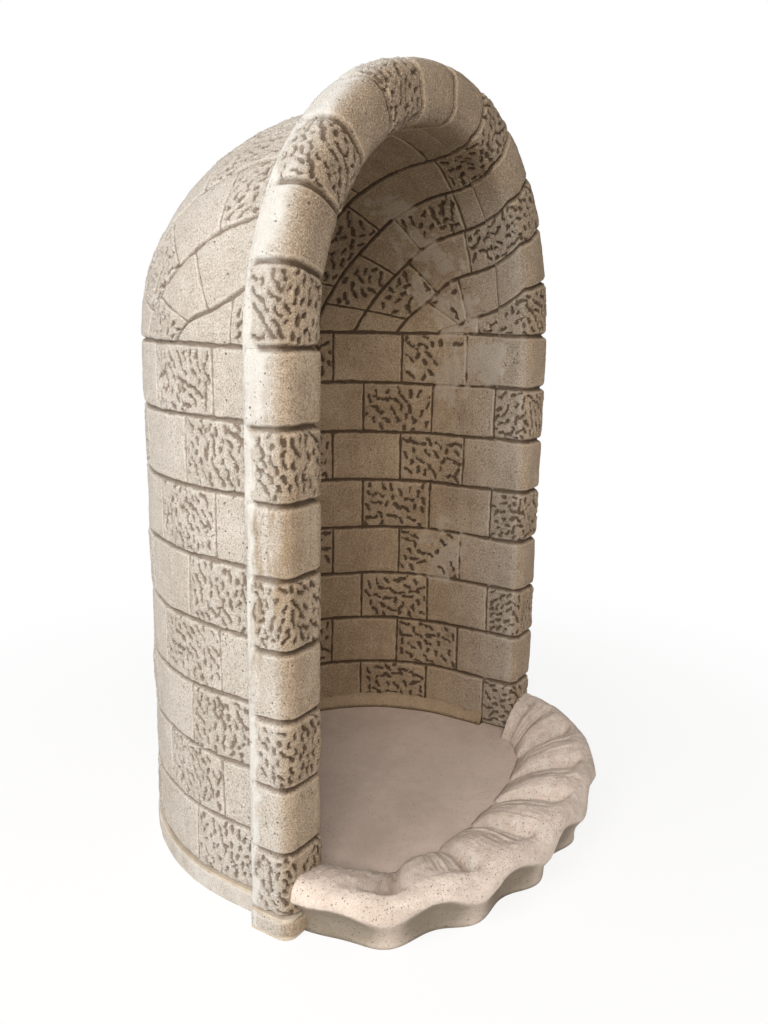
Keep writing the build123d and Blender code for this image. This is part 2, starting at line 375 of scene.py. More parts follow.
def stone(shape, place, spans, joints, tooled, block, swell, step, smear=None, indoor=0.0, lap=(0, 0)):
    """One stone as a closed block: a face with relief, four sides and a back in the wall.

    Where it laps under the stone beside it, at its first or last end, its face sinks."""
    fine = step if tooled else SMOOTH_STEP
    us, vs = lines(spans[0], fine), lines(spans[1], fine)
    tu, tv = np.meshgrid(us / spans[0], vs / spans[1], indexing="ij")
    level = np.zeros(tu.shape)
    base = place(tu, tv, level)
    grain = place(tu, tv + NUDGE, level) - base
    across = np.linalg.norm(place(tu + NUDGE, tv, level) - base, axis=-1) / NUDGE
    along = np.linalg.norm(grain, axis=-1) / NUDGE
    gaps = (tu * across, (1.0 - tu) * across, tv * along, (1.0 - tv) * along)
    mortar = smear(base) if smear else level
    height, recess, marked = relief(base, gaps, joints, tooled, mortar)
    height = height + swell * (1 - (2 * tu - 1) ** 4) * (1 - (2 * tv - 1) ** 4)
    for sunk, gap in zip(lap, gaps):
        height = height - sunk * LAP_SINK * (1.0 - smooth(gap / LAP_FADE))
    index = np.arange(tu.size).reshape(tu.shape)
    ring = np.concatenate([index[0, :], index[1:, -1], index[-1, -2::-1], index[-2:0:-1, 0]])
    back = place(tu.ravel()[ring], tv.ravel()[ring], np.full(len(ring), -block))
    middle = place(np.array([0.5]), np.array([0.5]), np.array([-block]))
    points = np.concatenate([place(tu, tv, height).reshape(-1, 3), back, middle])
    rear = tu.size + np.arange(len(ring))
    sides = np.stack([ring, np.roll(ring, -1), np.roll(rear, -1), rear], axis=-1)
    quads = np.concatenate([quads_between(index[:-1], index[1:]), sides])
    cap = fan(rear, np.roll(rear, -1), tu.size + len(ring))
    i, j = tu.shape[0] // 2, tu.shape[1] // 2
    out = place(tu, tv, level + NUDGE)[i, j] - base[i, j]
    hidden = len(ring) + 1
    # Inside stones carry the painted inside shade, a darker and browner tone.
    shape.add(
        points, facing_out(points, index, i, j, out, (quads, cap)), grain,
        tooled=padded(marked, hidden), recess=padded(recess, hidden, 1.0), smear=padded(mortar, hidden),
        indoor=indoor * inside_shade_share(points),
    )


class Section:
    """Outline of the frame's section, from its front inside corner round the outside and the back."""

    def __init__(self, sizes, rounding):
        inner, outer, front, back = sizes.opening, sizes.frame_outer, sizes.front, sizes.frame_back
        small = 0.0005
        corners = (
            (inner + rounding, front + rounding, rounding, 180),
            (outer - rounding, front + rounding, rounding, 270),
            (outer - small, back - small, small, 0),
            (inner + small, back - small, small, 90),
        )
        rows = []
        for across, deep, radius, first in corners:
            for turn in range(first, first + 91, 6):
                a = math.radians(turn)
                nr, ny = math.cos(a), math.sin(a)
                rows.append((across + radius * nr, deep + radius * ny, nr, ny))
        rows.append(rows[0])
        self.table = np.array(rows)
        steps = np.hypot(*np.diff(self.table[:, :2], axis=0).T)
        self.walked = np.concatenate([[0.0], np.cumsum(steps)])
        self.length = self.walked[-1]

    def at(self, walk):
        """Distance from the axis, depth and outward direction at a distance round the section."""
        walk = np.mod(walk, self.length)
        return [np.interp(walk, self.walked, self.table[:, i]) for i in range(4)]


def arch_drop(y, turn, sizes):
    """How many degrees the arch's joints sink along the inside, towards the back."""
    sunk = ARCH_SINK * (1.0 - np.exp(-np.maximum(y - sizes.front - 0.010, 0.0) / 0.055))
    side = np.minimum(turn, 180.0 - turn)
    return sunk * np.clip(np.minimum(side / WEDGE, (90.0 - side) / WEDGE), 0.0, 1.0) * np.sign(90.0 - turn)


def back_dip(up, forward, turn, sizes):
    """How many degrees the dome's outer joints dip between the arch and the springing at the back.

    The place is given by the angle up from the back and the distance along the leg."""
    low = np.clip(turn / WEDGE, 0.0, 1.0) * (1.0 - smooth((turn - 25.0) / 50.0))
    reach = sizes.wall_outer * np.sin(np.radians(np.maximum(turn - 3.0, 2.0)))
    run = sizes.leg - forward + reach * (math.pi / 2 - up)
    return DOME_DIP * np.sin(math.pi * run / (sizes.leg + reach * math.pi / 2)) * low


def frame_stone(shape, section, place, length, tooled, step, joint, sizes, head=None, proud=0.0):
    """One stone of the jambs or arch: the whole section, run along, with rounded ends."""
    fine = step if tooled else SMOOTH_STEP
    count = int(section.length / fine)
    walk = np.linspace(0.0, section.length, count, endpoint=False)
    wu, tv = np.meshgrid(walk, lines(length, fine) / length, indexing="ij")
    r, y, nr, ny = section.at(wu)
    shown = 1.0 - smooth((ny - 0.1) / 0.6)
    inside = smooth((sizes.opening + 0.004 - r) / 0.004)
    deeper = smooth((y - sizes.front - 0.005) / (sizes.frame_back - sizes.front - 0.010))
    base = place(r, y, tv)
    # Painted shade where the frame's edge turns into the niche, less on the lit right side.
    towards = inside_shade_share(base) * smooth((sizes.opening + 0.022 - r) / 0.022)
    gap = np.minimum(tv, 1.0 - tv) * length
    stray = lime_stray(base)
    outer = smooth((r - sizes.frame_outer + 0.004) / 0.003)
    limed = outer * smooth((y - sizes.frame_back + LIMED + stray) / 0.006)
    washed = 0.85 * outer * smooth((y - sizes.front - 0.006 + stray) / 0.026) * (1.0 - 0.6 * tooled)
    washed = washed * (0.3 + 0.7 * smooth((base[..., 2] - 0.42) / 0.16))
    share = groove(gap + ragged(base), joint) * (1.0 - 0.75 * limed)
    height = unevenness(base, tooled) * (1.0 - 0.5 * limed) + proud - 0.0012 * limed
    height = height + 0.0010 * (1 - (2 * tv - 1) ** 6) * (1.0 - inside * deeper)
    height = height - joint[0] * (1.0 - 0.3 * inside * deeper) * share
    marked = tooled * smooth((gap - 0.4 * joint[1]) / 0.003) * shown * (1.0 - limed)
    recess = share * shown
    if head is not None:
        line = groove(np.abs(y - sizes.frame_back), head) * inside
        height = height - head[0] * line
        recess = np.maximum(recess, line)
        marked = marked * (1.0 - line)
    height = height * shown
    next_r, next_y, _, _ = section.at(wu + 0.1 * NUDGE)
    round_section = place(next_r, next_y, tv) - base
    round_section = round_section / np.linalg.norm(round_section, axis=-1, keepdims=True) * NUDGE
    grain = np.where(inside[..., None] > 0.5, round_section, place(r, y, tv + NUDGE) - base)
    mid_r, mid_y = (sizes.opening + sizes.frame_outer) / 2, (sizes.front + sizes.frame_back) / 2
    ends = place(np.full(2, mid_r), np.full(2, mid_y), np.array([0.0, 1.0]))
    points = np.concatenate([place(r + nr * height, y + ny * height, tv).reshape(-1, 3), ends])
    index = np.arange(wu.size).reshape(wu.shape)
    i, j = int(count * 0.2), wu.shape[1] // 2
    out = place(r + nr * NUDGE, y + ny * NUDGE, tv)[i, j] - base[i, j]
    # The painted inside shade also darkens the frame's front faces, which are in shade under the light from
    # the left.
    shape.add(
        points, facing_out(points, index, i, j, out, tube_faces(index)), grain,
        tooled=padded(marked, 2), recess=padded(recess, 2, 1.0),
        smear=padded(np.maximum(0.85 * limed, washed), 2),
        indoor=padded(np.maximum(towards, 0.85 * smooth(-1.2 * ny)), 2),
    )


def swept_strip(shape, profile, **values):
    """A closed strip whose outline, given at each station, runs along a line of stations."""
    stations, around = profile.shape[:2]
    middles = profile.mean(axis=1)
    points = np.concatenate([profile.reshape(-1, 3), middles[[0, -1]]])
    index = np.arange(stations * around).reshape(stations, around).T
    out = (profile[1, 0] + profile[1, 1]) / 2 - middles[1]
    shape.add(points, facing_out(points, index, 0, 1, out, tube_faces(index)), **values)


def wall_path(s, radius, sizes):
    """Plan point and outward direction at a distance along the wall from the right jamb's back."""
    turn = np.clip((s - sizes.leg) / radius, 0.0, math.pi)
    first = np.minimum(s - sizes.leg, 0.0)
    last = np.maximum(s - sizes.leg - math.pi * radius, 0.0)
    x, y = radius * np.cos(turn), radius * np.sin(turn) + sizes.centre + first - last
    return x, y, np.cos(turn), np.sin(turn)


def wall_length(radius, sizes):
    """Length of a round wall with its two straight legs."""
    return 2 * sizes.leg + math.pi * radius


def wall_place(sizes, radius, facing, first, last, top, tall):
    """Where a stone of a round wall lies, from shares along and down it and the height of its face."""
    def place(tu, tv, h):
        x, y, nx, ny = wall_path(first + (last - first) * tu, radius, sizes)
        return np.stack([x + facing * nx * h, y + facing * ny * h, top - tall * tv], axis=-1)

    return place


def jamb_place(side, top, tall):
    """Where a stone of a jamb lies, from a point of the section and a share down the stone."""
    def place(r, y, tv):
        return columns(side * r, y, top - tall * tv)

    return place


def voussoir_place(sizes, n):
    """Where a voussoir lies, from a point of the section and a share round the arch."""
    def place(r, y, tv):
        turn = 180.0 - WEDGE * (n + tv)
        inside = smooth((sizes.opening + 0.012 - r) / 0.012)
        turn = np.radians(turn - arch_drop(y, turn, sizes) * inside)
        return columns(r * np.cos(turn), y, sizes.springing + r * np.sin(turn))

    return place


def dome_place(sizes, side, band, first, last, radius, rise, facing):
    """Where a stone of the dome lies, from shares across and along it and the height of its face.

    Its ends are in degrees up from the back, past 90 in millimetres forward."""
    def place(tu, tv, h):
        w = first + (last - first) * tv
        up = np.radians(np.clip(w, 0.0, 90.0))
        forward = np.maximum(w - 90.0, 0.0) / 1000
        turn = WEDGE * (band + tu)
        if facing > 0:
            drop = back_dip(up, forward, turn, sizes)
        else:
            guess = np.sin(np.radians(np.maximum(turn - 8, 4))) * radius * np.cos(up)
            back = np.sin(math.pi / 2 * np.clip((np.degrees(up) + 9.0) / 60.0, 0.0, 1.0))
            drop = arch_drop(sizes.centre + guess - forward, turn, sizes) * back
        a = np.radians(np.maximum(turn - drop, 0.02))
        cx, cy, cz = np.cos(a), np.sin(a) * np.cos(up), np.sin(a) * np.sin(up)
        normal = np.stack([cx / radius, cy / radius, cz / rise], axis=-1)
        normal = normal / np.linalg.norm(normal, axis=-1, keepdims=True) * facing
        x = side * (radius * cx + normal[..., 0] * h)
        y = sizes.centre + radius * cy - forward + normal[..., 1] * h
        z = sizes.springing + rise * cz + normal[..., 2] * h
        return np.stack([x, y, z], axis=-1)

    return place


class Value:
    """A node's output that Python's arithmetic works on, adding Math nodes to its graph."""

    def __init__(self, graph, socket):
        self.graph, self.socket = graph, socket

    def __add__(self, other):
        return self.graph.math("ADD", self, other)

    def __sub__(self, other):
        return self.graph.math("SUBTRACT", self, other)

    def __rsub__(self, other):
        return self.graph.math("SUBTRACT", other, self)

    def __mul__(self, other):
        return self.graph.math("MULTIPLY", self, other)

    __radd__, __rmul__ = __add__, __mul__

    def beside(self, output):
        """Another output of the same node."""
        return Value(self.graph, self.socket.node.outputs[output])


class Graph:
    """A tree of nodes under construction, for a material, the sky or a modifier."""

    def __init__(self, tree):
        self.tree = tree

    def node(self, kind, output, settings=(), **inputs):
        """Adds any node: its settings, its inputs by name or place, and the output that is wanted."""
        made = self.tree.nodes.new(kind)
        for name, value in dict(settings).items():
            setattr(made, name, value)
        for name, value in inputs.items():
            key = int(name[1:]) if name[0] == "_" else name.replace("_", " ")
            self.feed(made.inputs[key], value)
        return Value(self, made.outputs[output])

    def feed(self, socket, value):
        if isinstance(value, Value):
            self.tree.links.new(value.socket, socket)
        else:
            socket.default_value = value

    def math(self, operation, a, b):
        return self.node("ShaderNodeMath", 0, {"operation": operation}, _0=a, _1=b)

    def vector(self, operation, a, b):
        return self.node("ShaderNodeVectorMath", 0, {"operation": operation}, _0=a, _1=b)

    def scaled(self, vector, factor):
        return self.node("ShaderNodeVectorMath", 0, {"operation": "SCALE"}, _0=vector, Scale=factor)

    def stored(self, name, kind):
        """A value that a mesh holds at its points, for a modifier."""
        return self.node("GeometryNodeInputNamedAttribute", 0, {"data_type": kind}, Name=name)

    def ramp(self, value, low, high, first=0.0, last=1.0):
        """A smooth step from the first value at low to the last at high."""
        return self.node(
            "ShaderNodeMapRange", 0, {"interpolation_type": "SMOOTHSTEP"},
            Value=value, From_Min=low, From_Max=high, To_Min=first, To_Max=last,
        )

    def seen_as(self, share, lit, shown):
        """What lights the scene, with a share of what the camera sees in its place."""
        return self.node("ShaderNodeMixShader", 0, _0=share, _1=lit, _2=shown)

    def camera_ray(self):
        return self.node("ShaderNodeLightPath", "Is Camera Ray")


class Shader(Graph):
    """A material under construction."""

    def __init__(self, name):
        self.material = bpy.data.materials.new(name)
        self.material.use_nodes = True
        super().__init__(self.material.node_tree)
        self.surface = self.tree.nodes["Principled BSDF"]
        self.place = self.node("ShaderNodeTexCoord", "Object")

    def mix(self, share, a, b):
        return self.node("ShaderNodeMix", 2, {"data_type": "RGBA"}, _0=share, _6=a, _7=b)

    def stretched(self, scale):
        return self.vector("MULTIPLY", self.place, scale)

    def length(self, vector):
        return self.node("ShaderNodeVectorMath", "Value", {"operation": "LENGTH"}, _0=vector)

    def noise(self, scale, detail, rough, where=None):
        return self.node(
            "ShaderNodeTexNoise", 0, Vector=where or self.place, Scale=scale, Detail=detail, Roughness=rough
        )

    def dots(self, scale, size, share):
        """Scattered round spots: 1 inside a spot, for a share of the cells."""
        gap = self.node("ShaderNodeTexVoronoi", "Distance", Vector=self.place, Scale=scale)
        chance = self.node("ShaderNodeSeparateColor", 0, Color=gap.beside("Color"))
        near = 1.0 - self.ramp(gap, size * 0.6, size)
        return near * self.ramp(chance, 1.0 - share, 1.02 - share)

    def holes(self, *layers):
        """Two layers of spots in one."""
        return self.math("MAXIMUM", *(self.dots(*layer) for layer in layers))

    def attribute(self, name):
        return self.node("ShaderNodeAttribute", "Fac", {"attribute_name": name})

    def height(self, value, strength, distance):
        bump = self.node("ShaderNodeBump", 0, Height=value, Strength=strength, Distance=distance)
        self.feed(self.surface.inputs["Normal"], bump)

    def finish(self, colour, roughness):
        self.feed(self.surface.inputs["Base Color"], colour)
        self.feed(self.surface.inputs["Roughness"], roughness)
        self.surface.inputs["Specular IOR Level"].default_value = 0.25
        return self.material


def tint(colour, factor):
    """A colour made lighter or darker."""
    return [min(c * factor, 0.95) for c in colour[:3]] + [1.0]


def tones(finishes, look):
    """Light tone, dark tone and dirt of a finish."""
    return [tuple(getattr(finishes, f"{look}_{tone}")) for tone in ("light", "dark", "dirt")]


def stone_material(name, finishes):
    """Cast stone: sandy grain, clouds of tone, small air holes, dirt and painted shade kept in joints and
    chisel marks, a painted highlight along the joints' edges and painted shade inside the niche.
    """
    sh = Shader(name)
    out_light, out_dark, out_dirt_and_shade = tones(finishes, "outdoor")
    in_light, in_dark, in_dirt_and_shade = tones(finishes, "indoor")
    indoor = sh.attribute("indoor")
    recess = sh.attribute("recess")
    clouds = sh.noise(9.0, 4.0, 0.6)
    blotches = sh.noise(46.0, 3.0, 0.6)
    sand = sh.noise(560.0, 3.0, 0.65)
    grit = sh.noise(1000.0, 2.0, 0.6)
    streaks = sh.noise(1.0, 3.0, 0.6, sh.stretched((60.0, 60.0, 7.0)))
    tone = sh.ramp(0.50 * clouds + 0.30 * blotches + 0.20 * streaks, 0.36, 0.62)
    # The inside tones paint the shade inside the niche: darker and browner than the outside, with some brown
    # staining.
    colour = sh.mix(indoor, sh.mix(tone, out_dark, out_light), sh.mix(tone, in_dark, in_light))
    shade = sh.mix(indoor, tint(out_dark, 0.54), tint(in_dark, 0.42))
    bright = sh.mix(indoor, tint(out_light, 1.22), tint(in_light, 1.25))
    high = sh.node("ShaderNodeSeparateXYZ", 2, Vector=sh.place)
    # Darker still towards the top of the inside, under the dome.
    colour = sh.mix(sh.ramp(high, 0.60, 0.70) * indoor * 0.45, colour, shade)
    colour = sh.mix(sh.ramp(streaks, 0.56, 0.80) * 0.35, colour, shade)
    colour = sh.mix(sh.ramp(sand, 0.50, 0.66) * 0.70, colour, shade)
    colour = sh.mix(sh.ramp(1.0 - sand, 0.50, 0.66) * 0.60, colour, bright)
    colour = sh.mix(sh.ramp(grit, 0.52, 0.70) * 0.55, colour, shade)
    # Painted highlight along the stones' edges beside the joints, partly wear.
    edge_highlight_and_wear = sh.ramp(recess, 0.0, 0.05) * (1.0 - sh.ramp(recess, 0.10, 0.30))
    colour = sh.mix(edge_highlight_and_wear * 0.35, colour, bright)
    mortar = sh.mix(indoor, tuple(finishes.lime), tuple(finishes.mortar))
    cover = sh.ramp(sh.attribute("smear") + 0.9 * (blotches - 0.5) + 0.5 * (sand - 0.5), 0.20, 0.85)
    colour = sh.mix(cover * (0.75 - 0.33 * indoor), colour, mortar)
    far = sh.length(sh.vector("MULTIPLY", sh.vector("SUBTRACT", sh.place, STAIN_PLACE), STAIN_FADE))
    runs = sh.ramp(sh.noise(1.0, 4.0, 0.6, sh.stretched((90.0, 90.0, 16.0))), 0.46, 0.64)
    colour = sh.mix((1.0 - sh.ramp(far, 0.3, 1.0)) * runs * 0.55, colour, STAIN_COLOUR)
    # Dirt and painted shade in the chisel marks and down in the joints.
    marks = sh.ramp(sh.attribute("mark") + 0.4 * (blotches - 0.5), 0.22, 0.75) * (0.72 + 0.12 * indoor)
    hollow_dirt_and_shade = sh.ramp(recess + 0.5 * (blotches - 0.5) + 0.3 * (sand - 0.5), 0.20, 0.95)
    dirt_and_shade = sh.math("MAXIMUM", marks, hollow_dirt_and_shade * (0.66 + 0.20 * indoor))
    colour = sh.mix(dirt_and_shade, colour, sh.mix(indoor, out_dirt_and_shade, in_dirt_and_shade))
    holes = sh.holes((95.0, 0.13, 0.22), (230.0, 0.20, 0.22))
    colour = sh.mix(holes * 0.72, colour, tint(out_dirt_and_shade, 0.6))
    sh.height(1.0 * sand + 0.6 * grit + 0.8 * blotches - 1.3 * holes, 1.0, 0.0031)
    return sh.finish(colour, 0.82 + 0.14 * clouds)


def lip_material(name, finishes):
    """The lip's rougher cast: pinkish, full of pores, with a painted highlight on the flanks that face the
    light and painted shade in the grooves and under the edge.
    """
    sh = Shader(name)
    light, dark, dirt = tones(finishes, "lip")
    clouds = sh.noise(16.0, 4.0, 0.6)
    blotches = sh.noise(70.0, 3.0, 0.65)
    grain = sh.noise(800.0, 2.0, 0.7)
    sand = sh.noise(480.0, 3.0, 0.65)
    colour = sh.mix(sh.ramp(0.55 * clouds + 0.45 * blotches, 0.38, 0.62), dark, light)
    # Painted highlight on the lip's flanks that rise towards the light from the left.
    lime = sh.attribute("smear") * sh.ramp(blotches, 0.40, 0.62)
    colour = sh.mix(lime * 0.65, colour, LIP_FLANK_HIGHLIGHT)
    colour = sh.mix(sh.ramp(grain, 0.50, 0.72) * 0.45, colour, tint(dark, 0.62))
    colour = sh.mix(sh.ramp(sand, 0.53, 0.72) * 0.35, colour, tint(dark, 0.62))
    colour = sh.mix(sh.ramp(1.0 - sand, 0.53, 0.72) * 0.30, colour, tint(light, 1.2))
    # Painted shade in the grooves' pockets and under the rolled edge.
    hollow_dirt_and_shade = sh.ramp(sh.attribute("recess") + 0.4 * (blotches - 0.5), 0.15, 0.95)
    colour = sh.mix(hollow_dirt_and_shade * 0.80, colour, dirt)
    pores = sh.holes((200.0, 0.17, 0.50), (400.0, 0.23, 0.50))
    colour = sh.mix(pores * 0.72, colour, tint(dirt, 0.5))
    sh.height(0.9 * sand + 0.4 * grain + 0.9 * blotches - 1.4 * pores, 0.9, 0.0013)
    return sh.finish(colour, 0.82 + 0.12 * clouds)


def plain_stone(name, finishes, look, spots):
    """Stone without stored values, for pieces carried over from the frame."""
    sh = Shader(name)
    light, dark, dirt = tones(finishes, look)
    clouds = sh.noise(11.0, 4.0, 0.6)
    blotches = sh.noise(55.0, 3.0, 0.6)
    grain = sh.noise(800.0, 2.0, 0.7)
    colour = sh.mix(sh.ramp(0.6 * clouds + 0.4 * blotches, 0.38, 0.62), dark, light)
    colour = sh.mix(sh.ramp(grain, 0.50, 0.74) * 0.45, colour, tint(dark, 0.68))
    holes = sh.holes((150.0, 0.14, spots), (330.0, 0.2, spots))
    colour = sh.mix(holes * 0.7, colour, dirt)
    sh.height(0.5 * grain + 1.2 * blotches - holes, 0.5, 0.0008)
    return sh.finish(colour, 0.80 + 0.14 * clouds)


def materials():
    """The niche's finishes, made once."""
    if not MATERIALS:
        finishes = bpy.context.scene.niche.finishes
        MATERIALS["stone"] = stone_material("cast_stone", finishes)
        MATERIALS["lip"] = lip_material("lip_stone", finishes)
        MATERIALS["floor"] = plain_stone("floor_stone", finishes, "floor", 0.5)
        MATERIALS["slab"] = plain_stone("slab_stone", finishes, "slab", 0.25)
    return MATERIALS


def chisel_strokes(g, given, tooled):
    """Short lines scattered over the tooled stones, each the middle of a chisel mark."""
    def between(low, high):
        kind = {"data_type": "FLOAT"}
        return g.node("FunctionNodeRandomValue", 1, kind, _2=low, _3=high, Seed=given["Seed"])

    spots = g.node(
        "GeometryNodeDistributePointsOnFaces", "Points", {"distribute_method": "POISSON"},
        Mesh=given["Geometry"], Distance_Min=given["Gap"], Density_Max=40000.0, Density_Factor=tooled,
        Seed=given["Seed"],
    )
    stand = g.node("FunctionNodeAlignRotationToVector", 0, {"axis": "Z"}, Vector=spots.beside("Normal"))
    lean = g.node(
        "FunctionNodeAlignRotationToVector", 0, {"axis": "Y", "pivot_axis": "Z"},
        Rotation=stand, Vector=g.stored("grain", "FLOAT_VECTOR"),
    )
    swirl = (g.node("ShaderNodeTexNoise", 0, Scale=16.0, Detail=0.0) - 0.5) * 2.4
    chance = between(given["Slant"] - given["Spread"], given["Slant"] + given["Spread"])
    spin = g.node("ShaderNodeCombineXYZ", 0, Z=chance + swirl)
    turned = g.node("FunctionNodeRotateRotation", 0, {"rotation_space": "LOCAL"}, _0=lean, _1=spin)
    begin = g.node("ShaderNodeCombineXYZ", 0, Y=given["Length"] * -0.5)
    reach = g.node("ShaderNodeCombineXYZ", 0, Y=given["Length"])
    stroke = g.node("GeometryNodeMeshLine", 0, Count=2, Start_Location=begin, Offset=reach)
    size = g.node("ShaderNodeCombineXYZ", 0, X=1.0, Y=between(0.45, 1.35), Z=1.0)
    strokes = g.node(
        "GeometryNodeInstanceOnPoints", 0, Points=spots, Instance=stroke, Rotation=turned, Scale=size
    )
    return g.node("GeometryNodeRealizeInstances", 0, _0=strokes)


def chisel_tree():
    """Geometry nodes that strike chisel marks into the tooled stones of a mesh."""
    tree = bpy.data.node_groups.get("chisel_marks")
    if tree:
        return tree
    tree = bpy.data.node_groups.new("chisel_marks", "GeometryNodeTree")
    inputs = {name: "Float" for name in ("Gap", "Length", "Width", "Depth", "Slant", "Spread")}
    inputs = {"Geometry": "Geometry", **inputs, "Seed": "Int", "Stone": "Material"}
    for name, kind in inputs.items():
        tree.interface.new_socket(name, in_out="INPUT", socket_type="NodeSocket" + kind)
    tree.interface.new_socket("Geometry", in_out="OUTPUT", socket_type="NodeSocketGeometry")
    g = Graph(tree)
    group = g.node("NodeGroupInput", "Geometry")
    given = {name: group.beside(name) for name in inputs}
    tooled = g.stored("tooled", "FLOAT")
    strokes = chisel_strokes(g, given, tooled)
    # Each point sinks by its distance from the nearest stroke, with a low rim thrown up round the mark.
    where = g.node("GeometryNodeInputPosition", 0)
    crooked = g.node("ShaderNodeTexNoise", "Color", Vector=where, Scale=150.0, Detail=1.0)
    bend = g.scaled(g.vector("SUBTRACT", crooked, (0.5, 0.5, 0.5)), given["Width"] * 1.5)
    near = g.node(
        "GeometryNodeProximity", "Distance", {"target_element": "EDGES"},
        _0=strokes, Sample_Position=g.vector("ADD", where, bend),
    )
    broad = given["Width"] * (g.node("ShaderNodeTexNoise", 0, Scale=170.0, Detail=1.0) * 2.0 - 0.2)
    here = g.math("GREATER_THAN", tooled, 0.02)
    hit = g.ramp(near, broad * 0.25, broad, 1.0, 0.0) * here
    rim = (g.ramp(near, broad * 0.7, broad * 1.9, 1.0, 0.0) * here - hit) * 0.3
    shift = g.scaled(g.node("GeometryNodeInputNormal", 0), (rim - hit) * given["Depth"])
    # The share of the mark is kept before the points move, and stored after.
    keeper = g.node("GeometryNodeCaptureAttribute", "Geometry", Geometry=group).socket.node
    keeper.capture_items.new("FLOAT", "hit")
    g.feed(keeper.inputs["hit"], hit)
    kept = Value(g, keeper.outputs["Geometry"])
    moved = g.node("GeometryNodeSetPosition", 0, Geometry=kept, Offset=shift)
    marked = g.node(
        "GeometryNodeStoreNamedAttribute", 0, {"data_type": "FLOAT", "domain": "POINT"},
        Geometry=moved, Name="mark", Value=kept.beside("hit"),
    )
    whole = g.node("GeometryNodeRealizeInstances", 0, _0=marked)
    dressed = g.node("GeometryNodeSetMaterial", 0, Geometry=whole, Material=given["Stone"])
    g.feed(tree.nodes.new("NodeGroupOutput").inputs[0], dressed)
    return tree


def strike(obj, marks, seed):
    """Runs the chisel marks over a piece and keeps the result as its own plain mesh."""
    tree = chisel_tree()
    modifier = obj.modifiers.new("chisel_marks", "NODES")
    modifier.node_group = tree
    given = {
        "Gap": marks.gap, "Length": marks.length, "Width": marks.width, "Depth": marks.depth,
        "Slant": marks.slant, "Spread": marks.spread, "Seed": seed, "Stone": materials()["stone"],
    }
    for item in tree.interface.items_tree:
        if item.in_out == "INPUT" and item.name in given:
            modifier[item.identifier] = given[item.name]
    graph = bpy.context.evaluated_depsgraph_get()
    made = obj.evaluated_get(graph)
    mesh = bpy.data.meshes.new_from_object(made, preserve_all_data_layers=True, depsgraph=graph)
    obj.modifiers.remove(modifier)
    old, name = obj.data, obj.data.name
    obj.data = mesh
    bpy.data.meshes.remove(old)
    mesh.name = name


def settle(obj, nodes=(), look="stone"):
    """Gives a finished piece its finish and its place in the frame."""
    if not obj.data.materials:
        obj.data.materials.append(materials()[look])
    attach(obj, "root")
    if nodes:
        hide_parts(*nodes)


def lay(shape, name, marks, draw, nodes):
    """Makes a piece of laid stones, with its own draw of chisel marks."""
    obj = shape.make(name)
    strike(obj, marks, marks.seed + draw)
    settle(obj, nodes)


def metres(name, description, default):
    return FloatProperty(name=name, description=description, default=default, unit="LENGTH")


def angle(name, description, default):
    return FloatProperty(name=name, description=description, default=default, subtype="ANGLE")


def paint(name, description, *default):
    return FloatVectorProperty(
        name=name, description=description, default=(*default, 1.0), size=4, min=0.0, max=1.0, subtype="COLOR"
    )


class NicheStoneSettings(bpy.types.PropertyGroup):
    """How the stones are cut."""

    step: metres("Grid step", "Spacing of points on a tooled stone", 0.0020)
    bed_depth: metres("Bed depth", "Depth of level joints in the wall", 0.0042)
    bed_reach: metres("Bed reach", "Half width of level joints", 0.0046)
    head_depth: metres("Head depth", "Depth of upright joints", 0.0024)
    head_reach: metres("Head reach", "Half width of upright joints", 0.0032)
    frame_depth: metres("Frame depth", "Depth of joints in the frame", 0.0050)
    frame_reach: metres("Frame reach", "Half width of joints in the frame", 0.0060)
    jamb_round: metres("Jamb round", "Round of the jambs' front edges", 0.017)
    arch_round: metres("Arch round", "Round of the arch's front edges", 0.023)


class NicheMarkSettings(bpy.types.PropertyGroup):
    """Size and lie of the chisel marks on one side of the stonework."""

    gap: metres("Gap", "Least distance between marks", 0.0090)
    length: metres("Length", "Length of a mark", 0.0074)
    width: metres("Width", "Half width of a mark", 0.0041)
    depth: metres("Depth", "Depth of a mark", 0.0035)
    slant: angle("Slant", "Turn of the marks from the upright", 0.25)
    spread: angle("Spread", "How far single marks turn from the slant", 0.6)
    seed: IntProperty(name="Seed", description="Picks the places of the marks", default=4)


class NicheLipSettings(bpy.types.PropertyGroup):
    """Shape of the ruffled lip."""

    lobes: IntProperty(name="Lobes", description="Number of lobes", default=7)
    dish_half: metres("Dish half width", "Half width of the floor's front", 0.202)
    dish_reach: metres("Dish reach", "How far the floor runs out in front", 0.073)
    ridge: metres("Ridge", "Height of a ridge above the floor", 0.040)


